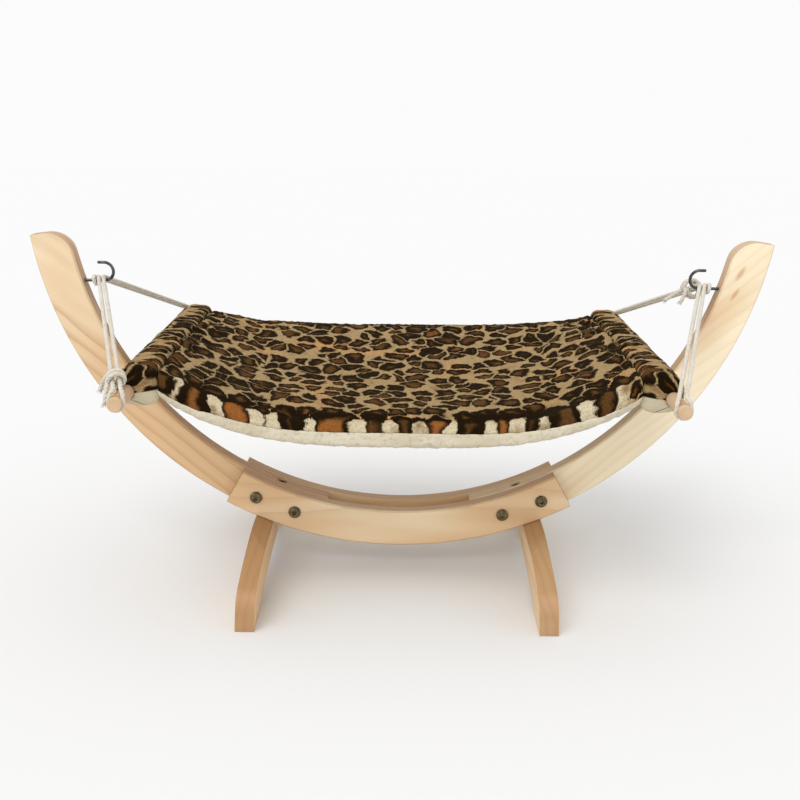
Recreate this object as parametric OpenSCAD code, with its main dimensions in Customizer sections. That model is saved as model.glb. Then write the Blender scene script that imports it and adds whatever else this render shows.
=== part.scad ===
// Cat hammock: a padded mat slung on two dowels between the hooks of an arched wooden stand.
// X runs along the stand, Y from front to back, Z up. The origin is on the floor, under the middle.

/* [Arched stand] */
// Outer radius of the arch that the arms and rails form
arc_r = 368; // [355:1:380]
// Depth of those planks, along the radius
plank_w = 38; // [34:1:42]
// Clear height under the lowest point of the arch
arch_clear = 28; // [24:1:36]
// Thickness of the two arm planks
arm_t = 18; // [14:0.5:22]
// Thickness of the two rail planks
rail_t = 15; // [12:0.5:20]
// Angle from straight down to the ends of the rails
rail_end_angle = 29; // [28:0.5:32]
// Angle from straight down to the hidden lower end of each arm
arm_low_angle = 13; // [10:0.5:14]
// Angle from straight down to the tip of each arm
arm_tip_angle = 82; // [76:0.5:86]
// Rounding of the inner corner at the arm tip
tip_round = 25; // [12:1:28]
// Chamfer along the sanded edges of the arms and rails
edge_ease = 1.6; // [0.5:0.1:3]

/* [Cross legs] */
// Thickness of the cross legs
leg_t = 18; // [16:0.5:22]
// Depth of each leg from its front foot to its rear foot
leg_depth = 320; // [260:5:360]
// Angle from straight down to where the middle of each leg meets the arch
leg_angle = 22.2; // [21.6:0.1:22.6]
// Lean of the legs towards the middle
leg_lean = 3; // [0:0.5:8]
// Height of the leg's upper edge over the feet, at its shoulder
leg_shoulder_h = 34; // [30:1:42]
// Height of the leg's upper edge at its middle, before it is cut to the arch
leg_crown_h = 62; // [58:1:70]
// Rounding of the shoulders
leg_shoulder_round = 20; // [8:1:30]
// Length of the flat under each foot
foot_len = 40; // [30:1:60]
// Height of the hollow between the feet
leg_hollow_h = 22; // [12:1:28]

/* [Bolts] */
// Thread diameter of all bolts
bolt_d = 6; // [5:0.5:8]
// Head diameter of the bolts through the rails
rail_bolt_head_d = 12.5; // [10:0.5:15]
// Height of those heads and of the flanges of their nuts
rail_bolt_head_h = 3; // [2:0.5:4]
// Outer diameter of the sleeve of each nut
nut_sleeve_d = 9; // [8.5:0.5:11]
// Angle from straight down to the inner bolts
inner_bolt_angle = 18; // [17:0.5:18.5]
// Angle from straight down to the outer bolts
outer_bolt_angle = 25; // [24.5:0.5:26]
// Head diameter of the bolts down into the legs
leg_bolt_head_d = 10; // [9:0.5:11]
// Height of those heads
leg_bolt_head_h = 6; // [4:0.5:7]
// Lean of those bolts towards the middle
leg_bolt_lean = 20; // [16:1:23]
// Outer diameter of the threaded insert in each leg
insert_d = 9; // [8.5:0.5:11]
// Length of the threaded insert
insert_len = 16; // [10:1:18]
// Width across the socket in each bolt head
socket_d = 5; // [3:0.5:6]

/* [Hooks] */
// Wire diameter of the screw hooks
wire_d = 3; // [2.5:0.1:3.6]
// Distance of the hook wire, where the cord hangs, below the centre of the arch
hook_drop = 96; // [88:1:104]
// Radius of the bend of the hook, at the middle of the wire
hook_bend_r = 9; // [8:0.5:12]
// Straight part of the hook between its bend and the arm
hook_reach = 20; // [19:0.5:24]
// Length of the hook's tip above the bend
hook_tip = 5; // [2:0.5:8]
// Depth of the hook's screw in the arm
hook_screw = 22; // [14:1:26]

/* [Dowels] */
// Diameter of the dowels
dowel_d = 13; // [12:0.5:15]
// Length of the dowels
dowel_len = 370; // [350:5:400]
// Distance from the inner edge of the arm to the middle of the dowel
dowel_inset = 41; // [38:0.5:46]
// Height of the hook wire over the dowels
dowel_drop = 74; // [68:1:80]
// Diameter at the bottom of the cord groove near each end
groove_d = 9; // [8:0.5:10]
// Length of the knob outside each groove
knob_len = 5; // [3:0.5:8]

/* [Mat] */
// Bare length of each dowel end, outside the mat
dowel_bare = 42; // [42:1:60]
// Diameter of the padded rolls that hold the dowels
sleeve_d = 38; // [34:1:40]
// Padding between a dowel and the skin of its roll, at its thinnest
sleeve_wall = 2.4; // [1.8:0.2:5]
// Angle above level at which that padding is thickest, towards the middle
sleeve_lean = 30; // [10:1:45]
// Rounding at the ends of the rolls
sleeve_round = 10; // [6:0.5:12]
// Sag of the mat's front edge at its middle
front_sag = 45; // [36:1:50]
// Sag of the mat's rear edge at its middle
rear_sag = 11; // [8:1:20]
// Thickness of the padded rim
rim_t = 30; // [26:1:36]
// Thickness of the mat where it is sewn to its rolls
seam_t = 26; // [20:1:30]
// How far the middle of the top is pressed down
mat_dish = 12; // [6:1:13]
// How far the middle of the underside hangs down
mat_belly = 6; // [0:1:10]
// How far the front and back edges are drawn in at the middle
mat_draw = 4; // [0:1:10]
// Depth of the gathers beside the rolls
gather_depth = 1.6; // [0:0.2:2.4]
// Number of gathers beside each roll
gather_count = 5; // [3:1:7]

/* [Cords] */
// Diameter of the cords
cord_d = 4; // [3.4:0.1:4.2]
// Clearance between turns of cord that lie side by side
cord_gap = 0.7; // [0.5:0.1:1]
// Length of the loose tails at the knots
cord_tail = 17; // [8:1:22]
// Turns of cord in each knot
knot_turns = 2; // [2:1:3]
// Distance from the left dowel's front groove to its knot, along the strand
left_tie_reach = 17; // [16:1:24]
// Distance from the right hook to its knot, along the strand
right_tie_reach = 21; // [18:1:30]

/* [Hidden] */

$fn = 96;
// Running clearance between pieces that move on each other
run_gap = 0.4;
// Clearance of bolts in their holes, and of pieces sewn or laid against each other
fit_gap = 0.2;
// Overrun of every cut
overrun = 2;

inner_r = arc_r - plank_w;
mid_r = arc_r - plank_w / 2;
arc_z = arch_clear + arc_r;
stack_t = arm_t + 2 * rail_t;
rail_y = (arm_t + rail_t) / 2;

// Point of the arch at a radius and an angle from straight down, on the right side
function arch_point(r, angle) = [r * sin(angle), arc_z - r * cos(angle)];

// Middle of each foot, below the place where the leaning leg meets the arch
leg_meet = arch_point(arc_r, leg_angle);
leg_foot_x = leg_meet.x + leg_meet.y * tan(leg_lean);

// Each leg bolt crosses the leg's middle plane at the middle of its insert, below the leg's seat
insert_depth = (insert_d + insert_len) / 2;
insert_mid = leg_meet + insert_depth * [sin(leg_lean), -cos(leg_lean)];
bolt_way = [-sin(leg_bolt_lean), cos(leg_bolt_lean)];

// Distance up a leg bolt, from the middle of its insert, to a circle round the arch's centre
function up_bolt(r) =
    let (off = insert_mid - [0, arc_z], back = off * bolt_way)
    -back - sqrt(back ^ 2 - off * off + r ^ 2);
leg_bolt_top = up_bolt(inner_r);
// The leg bolts' heads are sunk by a share of their own height
sunk_share = 1.35;
leg_bolt_seat = leg_bolt_top - leg_bolt_head_h * sunk_share;

// The arm's inner edge at a height, and the hook's bend and the dowel beside it
function arm_edge_x(z) = sqrt(inner_r ^ 2 - (arc_z - z) ^ 2);
hook_z = arc_z - hook_drop;
dowel_z = hook_z - dowel_drop;
hook_edge_x = arm_edge_x(hook_z);
hook_bend_x = hook_edge_x - hook_reach;
dowel_x = arm_edge_x(dowel_z) - dowel_inset;
wire_r = wire_d / 2;

cord_r = cord_d / 2;
lane_pitch = cord_d + cord_gap;
// Cord lanes on the straight part of the hook, from the bend outwards
first_lane_x = hook_bend_x + cord_r / 2;
second_lane_x = first_lane_x + lane_pitch;
hook_turn_r = wire_r + run_gap + cord_r;
groove_w = cord_d + 2 * fit_gap;
groove_y = dowel_len / 2 - knob_len - groove_w / 2;
groove_turn_r = groove_d / 2 + fit_gap + cord_r;
// Where the cord climbs out of its groove, and where it has passed the dowel's rim
rise_y = groove_y - groove_w / 4;
rise_r = dowel_d / 2 + cord_r + cord_gap;
lead_y = groove_y - groove_w - cord_r;
lead_r = dowel_d / 2 + cord_d;

// The middle of each roll lies inside of its dowel and above it
sleeve_r = sleeve_d / 2;
sleeve_bore_r = dowel_d / 2 + fit_gap;
sleeve_off = sleeve_r - sleeve_bore_r - sleeve_wall;
sleeve_x = dowel_x - sleeve_off * cos(sleeve_lean);
sleeve_z = dowel_z + sleeve_off * sin(sleeve_lean);

mat_half_x = sleeve_x - sleeve_r - fit_gap;
mat_half_y = dowel_len / 2 - dowel_bare;

wood = "burlywood";
metal = "dimgray";
brass = "darkgoldenrod";
plush = "peru";
cream = "antiquewhite";

// One side of the stand; the left one is the right one mirrored
module side(s) {
    mirror([s < 0 ? 1 : 0, 0, 0]) children();
}

module both_sides() {
    for (s = [-1, 1]) side(s) children();
}

// A plank of the arch: a chamfered section turned round the arch's centre
module arch_plank(t, from_angle, to_angle) {
    w = plank_w / 2;
    h = t / 2;
    e = edge_ease;
    section = [[-w + e, -h], [w - e, -h], [w, -h + e], [w, h - e], [w - e, h], [-w + e, h],
        [-w, h - e], [-w, -h + e]];
    translate([0, 0, arc_z])
        rotate([90, 0, 0])
            rotate([0, 0, from_angle - 90])
                rotate_extrude(angle = to_angle - from_angle, $fn = 180)
                    translate([mid_r, 0]) polygon(section);
}

// A bar across the stack of planks at a place on the arch
module across(r, angle, d, from_y, to_y) {
    p = arch_point(r, angle);
    translate([p.x, from_y, p.y])
        rotate([-90, 0, 0]) cylinder(d = d, h = to_y - from_y);
}

module at_bolts() {
    for (s = [-1, 1], angle = [inner_bolt_angle, outer_bolt_angle]) side(s) children_at(angle) children();
}

module children_at(angle) {
    p = arch_point(mid_r, angle);
    translate([p.x, 0, p.y]) children();
}

// Along a leg's middle plane, with Z up the leg from the floor
module on_leg() {
    translate([leg_foot_x, 0, 0]) rotate([0, -leg_lean, 0]) children();
}

// Along a leg bolt, with Z up the bolt from the middle of its insert
module on_leg_bolt() {
    translate([insert_mid.x, 0, insert_mid.y]) rotate([0, -leg_bolt_lean, 0]) children();
}

// The piece that rounds the inner corner of an arm's tip
module tip_cutter() {
    r = tip_round;
    swing = asin(r / (inner_r + r));
    c = arch_point(inner_r + r, arm_tip_angle - swing);
    touch = (inner_r + r) * cos(swing);
    over_angle = atan(overrun / inner_r);
    corner = [c, arch_point(inner_r - overrun, arm_tip_angle - swing),
        arch_point(inner_r - overrun, arm_tip_angle + over_angle),
        arch_point(touch, arm_tip_angle + over_angle), arch_point(touch, arm_tip_angle)];
    rotate([90, 0, 0])
        linear_extrude(arm_t + 2 * overrun, center = true)
            difference() {
                polygon(corner);
                translate(c) circle(r);
            }
}

module arm() {
    hole_d = bolt_d + 2 * fit_gap;
    y = arm_t / 2 + overrun;
    color(wood)
        difference() {
            arch_plank(arm_t - 2 * fit_gap, arm_low_angle, arm_tip_angle);
            tip_cutter();
            for (angle = [inner_bolt_angle, outer_bolt_angle]) across(mid_r, angle, hole_d, -y, y);
            on_leg_bolt() {
                cylinder(d = hole_d, h = leg_bolt_top + plank_w);
                translate([0, 0, leg_bolt_seat])
                    cylinder(d = leg_bolt_head_d + 2 * fit_gap, h = plank_w);
            }
            translate([hook_edge_x - plank_w, 0, hook_z])
                rotate([0, 90, 0]) cylinder(d = wire_d + 2 * fit_gap, h = plank_w + hook_screw + fit_gap);
        }
}

module left_arm() {
    side(-1) arm();
}

module right_arm() {
    side(1) arm();
}

module rail(y, hole_d) {
    color(wood)
        difference() {
            translate([0, y, 0]) arch_plank(rail_t, -rail_end_angle, rail_end_angle);
            for (s = [-1, 1], angle = [inner_bolt_angle, outer_bolt_angle])
                side(s) across(mid_r, angle, hole_d, y - rail_t, y + rail_t);
        }
}

module front_rail() {
    rail(-rail_y, bolt_d + 2 * fit_gap);
}

module rear_rail() {
    rail(rail_y, nut_sleeve_d + 2 * fit_gap);
}

// Points of an arc, by its centre, radius and angles
function arc_points(c, r, from_angle, to_angle, steps) =
    [for (i = [0 : steps]) let (a = from_angle + (to_angle - from_angle) * i / steps)
        c + r * [cos(a), sin(a)]];

// A leg seen along the stand: a low bridge with round shoulders and a hollow between its feet
module leg_outline() {
    half = leg_depth / 2;
    rise = leg_crown_h - leg_shoulder_h;
    crown_r = (half ^ 2 + rise ^ 2) / (2 * rise);
    crown_c = [0, leg_crown_h - crown_r];
    round_y = half - leg_shoulder_round;
    round_c = [round_y, crown_c.y + sqrt((crown_r - leg_shoulder_round) ^ 2 - round_y ^ 2)];
    meet = atan2(round_c.y - crown_c.y, round_y);
    hollow = half - foot_len;
    hollow_r = (hollow ^ 2 + leg_hollow_h ^ 2) / (2 * leg_hollow_h);
    spread = asin(hollow / hollow_r);
    shoulder = arc_points(round_c, leg_shoulder_round, 0, meet, 10);
    crown = arc_points(crown_c, crown_r, meet, 180 - meet, 16);
    far_shoulder = arc_points([-round_c.x, round_c.y], leg_shoulder_round, 180 - meet, 180, 10);
    arch = arc_points([0, leg_hollow_h - hollow_r], hollow_r, 90 + spread, 90 - spread, 24);
    sole = -leg_t;
    polygon(concat([[half, sole]], shoulder, [for (i = [1 : 15]) crown[i]], far_shoulder,
        [[-half, sole], [-hollow, sole]], arch, [[hollow, sole]]));
}

module leg() {
    block = leg_depth + 2 * overrun;
    color(wood)
        difference() {
            on_leg()
                rotate([90, 0, 90]) linear_extrude(leg_t, center = true) leg_outline();
            translate([0, 0, arc_z])
                rotate([90, 0, 0]) cylinder(r = arc_r, h = block, center = true, $fn = 180);
            translate([0, -block / 2, -block]) cube([block, block, block]);
            on_leg_bolt()
                translate([0, 0, -insert_len / 2])
                    cylinder(d = insert_d + 2 * fit_gap, h = insert_len + plank_w);
        }
}

module left_leg() {
    side(-1) leg();
}

module right_leg() {
    side(1) leg();
}

// A bolt along Z, with its head above zero and a six-sided socket sunk in it
module bolt(profile, head_h) {
    socket_depth = head_h * 2 / 3;
    color(brass)
        difference() {
            rotate_extrude() polygon(profile);
            translate([0, 0, head_h - socket_depth]) cylinder(d = socket_d, h = socket_depth + overrun, $fn = 6);
        }
}

// Rail bolts: their round heads lie on the front rail
module rail_bolts() {
    dome = rail_bolt_head_h;
    head_r = rail_bolt_head_d / 2;
    reach = stack_t - rail_bolt_head_h;
    profile = [[0, -reach], [bolt_d / 2, -reach], [bolt_d / 2, 0], [head_r, 0], [head_r, dome / 2],
        [head_r - dome / 2, dome], [0, dome]];
    at_bolts() translate([0, -stack_t / 2, 0]) rotate([90, 0, 0]) bolt(profile, dome);
}

// Sleeve nuts: their flanges lie on the rear rail
module rail_nuts() {
    flange_r = rail_bolt_head_d / 2;
    flange = rail_bolt_head_h * 2 / 3;
    sleeve_len = rail_t - fit_gap;
    bore_r = bolt_d / 2 + fit_gap / 2;
    profile = [[bore_r, -sleeve_len], [nut_sleeve_d / 2, -sleeve_len], [nut_sleeve_d / 2, 0],
        [flange_r, 0], [flange_r, flange / 2], [flange_r - flange / 2, flange], [0, flange], [0, -flange],
        [bore_r, -flange]];
    color(brass)
        at_bolts() translate([0, stack_t / 2, 0]) rotate([-90, 0, 0]) rotate_extrude() polygon(profile);
}

// Leg bolts: sunk in the arms, down into the inserts in the legs
module leg_bolts() {
    head_r = leg_bolt_head_d / 2;
    reach = leg_bolt_seat + insert_len / 4;
    profile = [[0, -reach], [bolt_d / 2, -reach], [bolt_d / 2, 0], [head_r, 0],
        [head_r, leg_bolt_head_h], [0, leg_bolt_head_h]];
    both_sides() on_leg_bolt() translate([0, 0, leg_bolt_seat]) bolt(profile, leg_bolt_head_h);
}

module leg_inserts() {
    bore_d = bolt_d + fit_gap;
    color(brass)
        both_sides() on_leg_bolt()
            difference() {
                cylinder(d = insert_d, h = insert_len, center = true);
                cylinder(d = bore_d, h = insert_len + 2 * overrun, center = true);
            }
}

// A screw hook: its screw in the arm, a straight reach, an open bend and a tip that points back
module hook() {
    top_z = hook_z + 2 * hook_bend_r;
    color(metal) {
        translate([hook_bend_x, 0, hook_z])
            rotate([0, 90, 0]) cylinder(d = wire_d, h = hook_reach + hook_screw);
        translate([hook_bend_x, 0, hook_z + hook_bend_r])
            rotate([90, 0, 0])
                rotate([0, 0, 90])
                    rotate_extrude(angle = 180) translate([hook_bend_r, 0]) circle(d = wire_d, $fn = 32);
        translate([hook_bend_x, 0, top_z])
            rotate([0, 90, 0]) cylinder(d = wire_d, h = hook_tip);
        translate([hook_bend_x + hook_tip, 0, top_z]) sphere(d = wire_d, $fn = 32);
    }
}

module left_hook() {
    side(-1) hook();
}

module right_hook() {
    side(1) hook();
}

// A dowel with a turned cord groove near each end
module dowel() {
    r = dowel_d / 2;
    g = groove_d / 2;
    ease = edge_ease / 2;
    half = dowel_len / 2;
    out_y = groove_y + groove_w / 2;
    in_y = groove_y - groove_w / 2;
    end = [[r, in_y], [g, in_y], [g, out_y], [r, out_y], [r, half - ease], [r - ease, half], [0, half]];
    other_end = [for (i = [len(end) - 1 : -1 : 0]) [end[i].x, -end[i].y]];
    color(wood)
        translate([dowel_x, 0, dowel_z])
            rotate([90, 0, 0]) rotate_extrude() polygon(concat(other_end, end));
}

module left_dowel() {
    side(-1) dowel();
}

module right_dowel() {
    side(1) dowel();
}

// A padded sleeve: a stuffed roll, rounded at both ends, with its dowel low on its outer side
module sleeve() {
    half = mat_half_y;
    steps = 8;
    lip = arc_points([sleeve_r - sleeve_round, half - sleeve_round], sleeve_round, 0, 90, steps);
    other_lip = [for (i = [steps : -1 : 0]) [lip[i].x, -lip[i].y]];
    color(plush)
        difference() {
            translate([sleeve_x, 0, sleeve_z])
                rotate([90, 0, 0])
                    rotate_extrude() polygon(concat([[0, -half]], other_lip, lip, [[0, half]]));
            translate([dowel_x, 0, dowel_z])
                rotate([90, 0, 0]) cylinder(r = sleeve_bore_r, h = dowel_len, center = true);
        }
}

module left_sleeve() {
    side(-1) sleeve();
}

module right_sleeve() {
    side(1) sleeve();
}

// The mat is lofted along X through rounded cross-sections. Its seam runs below the middle of the rim.
mat_stations = 30;
mat_steps = 22;
edge_power_share = 0.48;
dish_power_share = 1.5;
sag_power_share = 3.5;
seam_angle = 1.5;
rim_swell_share = 6;
gather_reach_share = 10;

function signed_power(value, power) = sign(value) * abs(value) ^ power;

// A point of the mat's skin, at a share u of its half length and an angle round the cross-section
function mat_point(u, angle) =
    let (
        v = signed_power(cos(angle), edge_power_share),
        w = signed_power(sin(angle), edge_power_share),
        open = 1 - u ^ 2,
        half_t = rim_t / 2 - (rim_t - seam_t) / 2 * abs(u) ^ rim_swell_share,
        sag = ((front_sag + rear_sag) + (rear_sag - front_sag) * v) / 2 * (1 - abs(u) ^ sag_power_share),
        press = (w > 0 ? mat_dish : mat_belly) * open * (1 - v ^ 2) ^ dish_power_share,
        gather = gather_depth * (w > 0 ? 1 : 0) * (1 - v ^ 2) * abs(u) ^ gather_reach_share
            * (1 - cos(gather_count * 180 * (v + 1)))
    )
    [u * mat_half_x, v * (mat_half_y - mat_draw * open), sleeve_z - sag + half_t * w - press - gather];

// A closed skin over rings of points, all with the same count. Each patch is split along one diagonal,
// or along the other one, so that two skins can share a twisted face.
module loft(rings, other_split = false) {
    n = len(rings[0]);
    last = len(rings) - 1;
    sides = [for (i = [0 : last - 1], j = [0 : n - 1])
        let (a = i * n + j, b = i * n + (j + 1) % n, c = b + n, d = a + n)
        each other_split ? [[a, b, d], [b, c, d]] : [[a, b, c], [a, c, d]]];
    first_cap = [[for (j = [n - 1 : -1 : 0]) j]];
    last_cap = [[for (j = [0 : n - 1]) last * n + j]];
    polyhedron([for (ring = rings) each ring], concat(sides, first_cap, last_cap));
}

function mat_rings(from_angle, to_angle, steps) =
    [for (i = [0 : mat_stations]) let (u = sin(90 * (2 * i / mat_stations - 1)))
        [for (j = [0 : steps]) mat_point(u, from_angle + (to_angle - from_angle) * j / steps)]];

module mat_top() {
    color(plush) loft(mat_rings(-seam_angle, 180 + seam_angle, mat_steps));
}

module mat_lining() {
    color(cream) loft(mat_rings(180 + seam_angle, 360 - seam_angle, mat_steps), true);
}

// Routes of the cords, on the right side. Each side has one cord, looped over its hook and back and
// once round each end of its dowel. Its ends butt inside the knot that ties them.
function groove_turn(s, from_angle, to_angle, steps) =
    [for (p = arc_points([dowel_x, dowel_z], groove_turn_r, from_angle, to_angle, steps))
        [p.x, s * groove_y, p.y]];

function beside_dowel(r, angle, y) = [dowel_x + r * cos(angle), y, dowel_z + r * sin(angle)];
function rise(s, angle) = beside_dowel(rise_r, angle, s * rise_y);
function lead(s, angle) = beside_dowel(lead_r, angle, s * lead_y);

// A pass over the hook wire, by the angle round the wire, moving from one lane to another
function hook_turn(from_angle, to_angle, from_x, to_x, steps) =
    [for (i = [0 : steps]) let (t = i / steps, a = from_angle + (to_angle - from_angle) * t)
        [from_x + (to_x - from_x) * t, hook_turn_r * cos(a), hook_z + hook_turn_r * sin(a)]];

// Angles where the cord leaves its groove, climbs and leads off, and where it leaves the hook
inner_out = 150;
outer_out = 30;
inner_rise = 129;
outer_rise = 51;
inner_lead = 108;
outer_lead = 72;
slope = atan((hook_z - dowel_z) / groove_y);
near_side = 90 + slope;
far_side = 90 - slope;
turn_steps = 22;

full_turn = 360;
third_lane_x = second_lane_x + lane_pitch * (full_turn + near_side - far_side) / full_turn;
over_steps = 4;
over_hook = hook_turn(near_side, far_side, first_lane_x, first_lane_x, over_steps);
round_hook = hook_turn(far_side, near_side + full_turn, third_lane_x, second_lane_x, turn_steps);
near_loop = groove_turn(-1, outer_out, inner_out - full_turn, 14);
far_loop = groove_turn(1, inner_out, outer_out + full_turn, 14);
near_way = concat([lead(-1, outer_lead), rise(-1, outer_rise)], near_loop,
    [rise(-1, inner_rise), lead(-1, inner_lead)]);
far_way = concat([lead(1, inner_lead), rise(1, inner_rise)], far_loop,
    [rise(1, outer_rise), lead(1, outer_lead)]);
dowel_way = concat(near_way, over_hook, far_way);

// Each knot ties two strands together: beside the front dowel end on the left, behind the hook on the right
function unit(v) = v / norm(v);
left_tie_way = unit(round_hook[turn_steps] - lead(-1, outer_lead));
left_tie = lead(-1, outer_lead) + left_tie_way * left_tie_reach;
left_pair_way = unit(over_hook[0] - lead(-1, inner_lead));
left_pair = lead(-1, inner_lead) + left_pair_way * left_tie_reach;
right_tie_way = unit(lead(1, outer_lead) - round_hook[0]);
right_tie = round_hook[0] + right_tie_way * right_tie_reach;
right_pair_way = unit(lead(1, inner_lead) - over_hook[over_steps]);
right_pair = over_hook[over_steps] + right_pair_way * right_tie_reach;
left_route = concat([left_tie - left_tie_way * fit_gap], dowel_way, round_hook,
    [left_tie + left_tie_way * fit_gap]);
right_route = concat([right_tie - right_tie_way * fit_gap], round_hook, dowel_way,
    [right_tie + right_tie_way * fit_gap]);

// A barrel knot: turns wound round two strands, with a loose tail at each end. Both tails leave on one
// side of the strands: 1 is the side towards the arm, -1 the side away from it.
knot_steps = 12;
function knot_route(strands, ways, tail_side, first_drop, last_drop) =
    let (
        middle = (strands[0] + strands[1]) / 2,
        way = unit(ways[0] + ways[1]),
        turn_r = norm(strands[0] - strands[1]) / 2 + cord_d + cord_gap / 2,
        n = tail_side * unit(cross(way, [0, 0, 1])),
        b = cross(n, way),
        steps = knot_steps * knot_turns,
        coil = [for (i = [0 : steps]) let (t = i / steps, a = full_turn * knot_turns * t)
            middle + way * (t - 1 / 2) * lane_pitch * knot_turns + turn_r * (n * cos(a) + b * sin(a))],
        tail_shares = [0.25, 0.6, 1],
        first = [for (k = [2 : -1 : 0]) coil[0] + cord_tail * tail_shares[k] * first_drop
            - way * cord_d * min(1, 2 * tail_shares[k])],
        last = [for (k = [0 : 2]) coil[steps] + cord_tail * tail_shares[k] * last_drop
            + way * cord_d * min(1, 2 * tail_shares[k])]
    )
    concat(first, coil, last);

// Tangents and a frame carried along a route, for sweeping a round tube
function tangent(route, i) =
    let (last = len(route) - 1, before = route[max(i - 1, 0)], after = route[min(i + 1, last)])
    i == 0 || i == last ? unit(after - before)
        : unit(unit(after - route[i]) + unit(route[i] - before));
function side_step(prev, t) = unit(prev - t * (prev * t));
function first_side(t) = unit(cross(t, abs(t.z) < 0.9 ? [0, 0, 1] : [1, 0, 0]));
function carried(route) =
    [for (i = 0, t = tangent(route, 0), n = first_side(t); i < len(route);
        i = i + 1, t = i < len(route) ? tangent(route, i) : t, n = side_step(n, t)) [t, n]];

module tube(route, r, sides) {
    frames = carried(route);
    rings = [for (i = [0 : len(route) - 1]) let (t = frames[i][0], n = frames[i][1], b = cross(t, n))
        [for (k = [0 : sides - 1]) let (a = -360 * k / sides) route[i] + r * (n * cos(a) + b * sin(a))]];
    loft(rings);
}

// Least distance between parts of a route that are not neighbours along it
function least_gap(route, apart) =
    min([for (i = [0 : len(route) - 1], j = [i + apart : len(route) - 1])
        if (j < len(route)) norm(route[i] - route[j])]) - cord_d;

cord_sides = 8;

module left_cord() {
    color(cream) side(-1) tube(left_route, cord_r, cord_sides);
}

module right_cord() {
    color(cream) side(1) tube(right_route, cord_r, cord_sides);
}

left_knot_route = knot_route([left_tie, left_pair], [left_tie_way, left_pair_way], 1,
    unit([0.1, -0.5, -1]), unit([0.4, 0, -1]));
right_knot_route = knot_route([right_tie, right_pair], [right_tie_way, right_pair_way], -1,
    unit([-0.5, 0, -1]), unit([-1, 0.2, -0.8]));

module left_knot() {
    color(cream) side(-1) tube(left_knot_route, cord_r, cord_sides);
}

module right_knot() {
    color(cream) side(1) tube(right_knot_route, cord_r, cord_sides);
}

echo(leg_foot_x = leg_foot_x);
echo(hook_turns_gap = least_gap(round_hook, turn_steps - 6));
echo(left_knot_gap = least_gap(left_knot_route, knot_steps - 3));
echo(right_knot_gap = least_gap(right_knot_route, knot_steps - 3));

left_arm();
right_arm();
front_rail();
rear_rail();
left_leg();
right_leg();
rail_bolts();
rail_nuts();
leg_bolts();
leg_inserts();
left_hook();
right_hook();
left_dowel();
right_dowel();
left_sleeve();
right_sleeve();
mat_top();
mat_lining();
left_cord();
right_cord();
left_knot();
right_knot();
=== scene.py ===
"""Looks of the cat hammock: twisted cotton cords, a padded plush mat with a fleece lining, pine and metal."""
import math

import bmesh
import bpy
import numpy as np
from mathutils import Matrix, Vector, noise


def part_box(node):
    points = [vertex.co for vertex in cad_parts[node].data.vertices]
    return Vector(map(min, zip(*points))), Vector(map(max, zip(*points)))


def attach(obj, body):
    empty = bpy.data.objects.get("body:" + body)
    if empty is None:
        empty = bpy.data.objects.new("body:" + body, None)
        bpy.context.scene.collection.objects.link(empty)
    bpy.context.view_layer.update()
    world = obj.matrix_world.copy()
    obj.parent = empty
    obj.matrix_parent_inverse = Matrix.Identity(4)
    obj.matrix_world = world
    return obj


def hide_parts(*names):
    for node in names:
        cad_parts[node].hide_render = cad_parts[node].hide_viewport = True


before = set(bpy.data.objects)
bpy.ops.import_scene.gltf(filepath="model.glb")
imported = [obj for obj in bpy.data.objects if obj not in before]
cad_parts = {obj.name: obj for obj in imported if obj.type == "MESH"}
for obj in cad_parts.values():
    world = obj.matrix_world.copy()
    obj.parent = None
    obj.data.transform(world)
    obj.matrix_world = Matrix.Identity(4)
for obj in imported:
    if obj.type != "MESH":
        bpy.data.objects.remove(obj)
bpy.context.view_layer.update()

# Camera, in metres and degrees, with its lens and sensor in millimetres
CAMERA_AT = (0.0, -1.017, 0.4801)
CAMERA_DOWN = 16.45
CAMERA_ROLL = 0.8
CAMERA_LENS = 46.33
SENSOR = 36.0

# Sizes that the boxes of the solids don't give, in metres
WIRE_D = 0.003
HOOK_BEND_R = 0.009
CORD_D = 0.004
CORD_GAP = 0.0007
RUN_GAP = 0.0004
FIT_GAP = 0.0002
GROOVE_D = 0.009
KNOB_LEN = 0.005
CORD_TAIL = 0.017
LEFT_TIE_REACH = 0.017
RIGHT_TIE_REACH = 0.021

# Turns of a knot, and steps in each
KNOT_TURNS = 2
KNOT_STEPS = 12


def unit(v):
    return v / np.linalg.norm(v)


def smoothstep(x, low, high):
    t = np.clip((x - low) / (high - low), 0.0, 1.0)
    return t * t * (3.0 - 2.0 * t)


def rolling_noise(points, scale, seed):
    """Smooth noise from about -1 to 1 at each point, the same on every run."""
    shift = Vector((seed * 17.3, seed * -9.1, seed * 5.7))
    return np.array([noise.noise(Vector(p) * scale + shift) for p in points])


def add_mesh(name, points, faces, material):
    mesh = bpy.data.meshes.new(name)
    mesh.from_pydata([tuple(p) for p in points], [], faces)
    mesh.shade_smooth()
    mesh.materials.append(material)
    obj = bpy.data.objects.new(name, mesh)
    bpy.context.scene.collection.objects.link(obj)
    return obj


def set_uv(obj, uv):
    """Gives the mesh a UV map from one pair of numbers for each vertex."""
    layer = obj.data.uv_layers.new(name="UVMap")
    corner = np.zeros(len(obj.data.loops), np.int32)
    obj.data.loops.foreach_get("vertex_index", corner)
    layer.data.foreach_set("uv", np.asarray(uv, np.float32)[corner].ravel())


def grid_faces(rows, columns, wrap_rows=False):
    """Quads over a grid of points, counted row by row. Each row is a ring, and the rows may close too."""
    faces = []
    for i in range(rows if wrap_rows else rows - 1):
        a = i * columns
        b = (i + 1) % rows * columns
        for j in range(columns):
            k = (j + 1) % columns
            faces.append((a + j, a + k, b + k, b + j))
    return faces


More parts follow.
